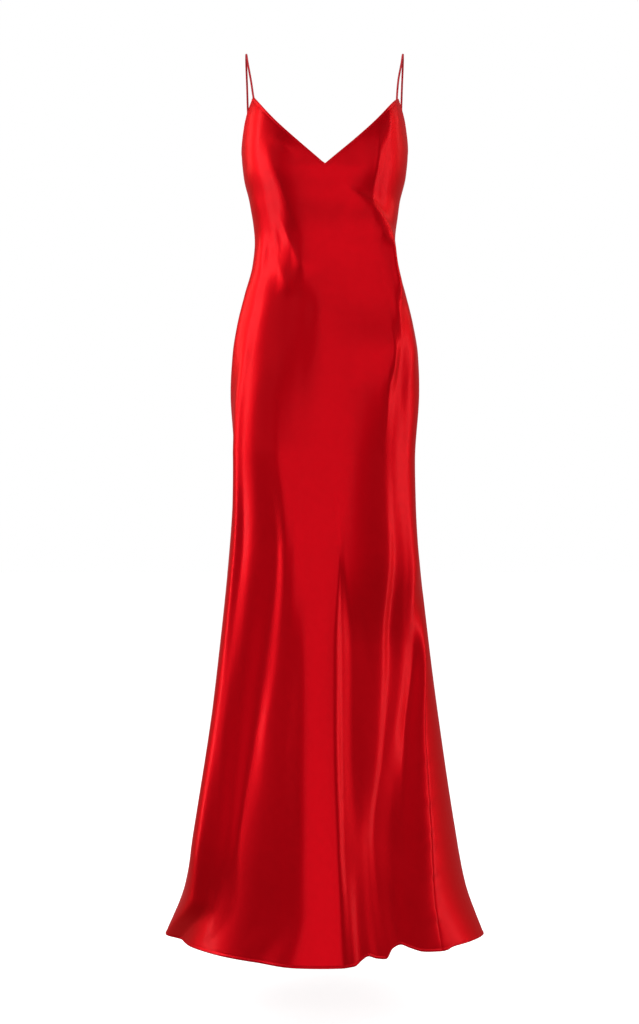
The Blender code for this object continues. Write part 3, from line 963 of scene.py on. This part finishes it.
# %% [markdown]
# ## The straps
#
# Each strap is a rouleau: a bias strip sewn as a tube and turned right side out. It is sewn behind
# the front point, rises straight to the shoulder, goes over it and hangs down to the back edge. Its
# own seam winds slowly round it. A curve with a round bevel would be a perfect wire, so the tube is
# built ring by ring, pressed a little flat and with a groove for its seam.

# %% The route of the straps
STRAP_RADIUS = 1.8          # mm
STRAP_LAP = 14.0            # mm sewn behind the panel
STRAP_LAP_BEARING = 59.0    # degrees, where its front end lies
STRAP_FROM_POINT = 1.0      # mm below the front point, where it leaves the panel
STRAP_FROM_BACK = 7.0       # mm above the back edge, where it meets the line of the panel
STRAP_ROUTE = (
    # x, y, drop (mm) of the right strap from the front to the back; the left one is its mirror image
    (127.3, -34.0, 58.0),
    (133.6, -16.0, 23.0),
    (137.2, 3.0, 1.8),
    (138.0, 21.0, 14.0),
    (137.0, 33.0, 52.0),
    (135.5, 40.0, 110.0),
)
STRAP_RINGS = 150
SEAT_TURN, SEAT_STEP = 1, 5    # short steps on the cloth, in degrees and mm, that give its slope


def strap_seat(bearing, drop):
    """Middle of a strap where it lies on the inner face of a panel, mm."""
    turn = np.array([[bearing, bearing + SEAT_TURN, bearing]])
    drops = np.array([[drop, drop, drop + SEAT_STEP]])
    here, beside, below = cloth_points(turn, drops, turn_rises(turn, drops))[0]
    return here - unit(np.cross(below - here, beside - here)) * (WALL / 2 + STRAP_RADIUS)


def strap_line(side):
    """Points down the middle of a strap, and its length; side is 1 for the right and -1 for the left."""
    through = [strap_seat(side * STRAP_LAP_BEARING, POINT_DROP + STRAP_LAP),
               strap_seat(side * POINT_BEARING, POINT_DROP + STRAP_FROM_POINT)]
    through += [(side * x, y, -drop) for x, y, drop in STRAP_ROUTE]
    through += [strap_seat(side * BACK_SEAT_BEARING, BACK_SEAT_DROP - STRAP_FROM_BACK),
                strap_seat(side * BACK_SEAT_BEARING, BACK_SEAT_DROP + STRAP_LAP)]
    through = np.array(through)
    lengths = distances_along(through)
    at = np.linspace(0, lengths[-1], STRAP_RINGS)[None]
    return np.stack([smooth(lengths, through[:, k], at)[0] for k in range(3)], axis=-1), lengths[-1]


print("straps %.0f and %.0f mm long" % (strap_line(-1)[1], strap_line(1)[1]))

# %% Make the straps
STRAP_SIDES = 14
STRAP_FLAT = 0.84           # how flat it is pressed
GROOVE_DEPTH = 0.14         # of its seam, as a share of the radius
GROOVE_WIDTH = 0.4          # radians
SEAM_SWING = 0.9            # radians that the seam winds either way
SEAM_WAVE = 5               # radians of that winding from end to end


def make_strap(name, node, side):
    """A strap in place of its node; side is as for its line."""
    line = strap_line(side)[0]
    ahead = unit(np.gradient(line, axis=0))
    flat = unit(np.cross(ahead, (side, 0, 0)))
    across = np.cross(flat, ahead)
    along = np.linspace(0, 1, STRAP_RINGS)[:, None]
    turns = (np.arange(STRAP_SIDES) * math.tau / STRAP_SIDES)[None]
    seam = SEAM_SWING * np.sin(SEAM_WAVE * along + side)
    from_seam = np.angle(np.exp(1j * (turns - seam)))    # the short way round, in radians
    radius = STRAP_RADIUS * (1 - GROOVE_DEPTH * np.exp(-(from_seam / GROOVE_WIDTH) ** 2))
    vertices = (line[:, None] + (radius * STRAP_FLAT * np.cos(turns))[..., None] * flat[:, None]
                + (radius * np.sin(turns))[..., None] * across[:, None])
    strap = make_tubes(name, vertices.reshape(-1, 3), STRAP_RINGS, STRAP_SIDES, ROULEAU)
    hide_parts(node)


make_strap("left_rouleau", "strap_left", -1)
make_strap("right_rouleau", "strap_right", 1)

# %% [markdown]
# ## The cut
#
# Laid flat, a panel is as wide as its hem, as long as the cloth measured down its face, and narrower
# above, so its area is stated too. These could be typed in, but measured off the grid they stay true
# when a fold is moved.


def cut_of(first, last):
    """Width at the hem, length and area in m and m2 of the flat cut of a panel, read off its grid."""
    cloth = GRID[:, np.arange(first, last + 1) % COLUMNS] * MM
    across, down = np.diff(cloth, axis=1), np.diff(cloth, axis=0)
    width = np.linalg.norm(across[-1], axis=-1).sum()
    length = np.linalg.norm(down, axis=-1).sum(axis=0).max()
    area = np.linalg.norm(np.cross(across[:-1], down[:, :-1]), axis=-1).sum()
    return width, length, area


for panel, side in ((FRONT, "front"), (BACK, "back")):
    width, length, area = cut_of(*SPANS[side])
    print(panel.name, "cut: %.3f m at the hem, %.3f m long, %.3f m2" % (width, length, area))
    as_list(STITCHES[side])

# %% [markdown]
# ## The floor
#
# The dress hangs clear of a pale painted floor. A backdrop would end somewhere, but this is so wide
# that no edge shows from any side. It is matt, as gloss would mirror the hem, and glows a little, as
# white paint seems to in a studio. The cloth neither mirrors it nor is lit by it, so the lights and
# the room alone shape the folds.

# %% Lay the floor
FLOOR_HALF = 20.0           # m, half its side
FLOOR_GAP = 0.12            # m below the hem


def pale_paint():
    """Matt wall paint on a studio floor: it scatters all light evenly, so it reads as plain white."""
    return new_material("pale_paint", {
        "Base Color": hex_to_linear("#E0E0E0"), "Roughness": 0.9,
        "Emission Color": hex_to_linear("#FFFFFF"), "Emission Strength": 0.8})[0]


def make_floor():
    """The floor, which is staging and no part of the dress."""
    level = -HEM_DROP * MM - FLOOR_GAP
    corners = np.array([(-1, -1, 0), (1, -1, 0), (1, 1, 0), (-1, 1, 0)]) * FLOOR_HALF + (0, 0, level)
    floor = add_object("floor", new_mesh("floor", corners, [(0, 1, 2, 3)], pale_paint()))
    floor.visible_diffuse = False
    floor.visible_glossy = False
    floor.visible_shadow = False
    print("floor at %.3f m" % level)


make_floor()
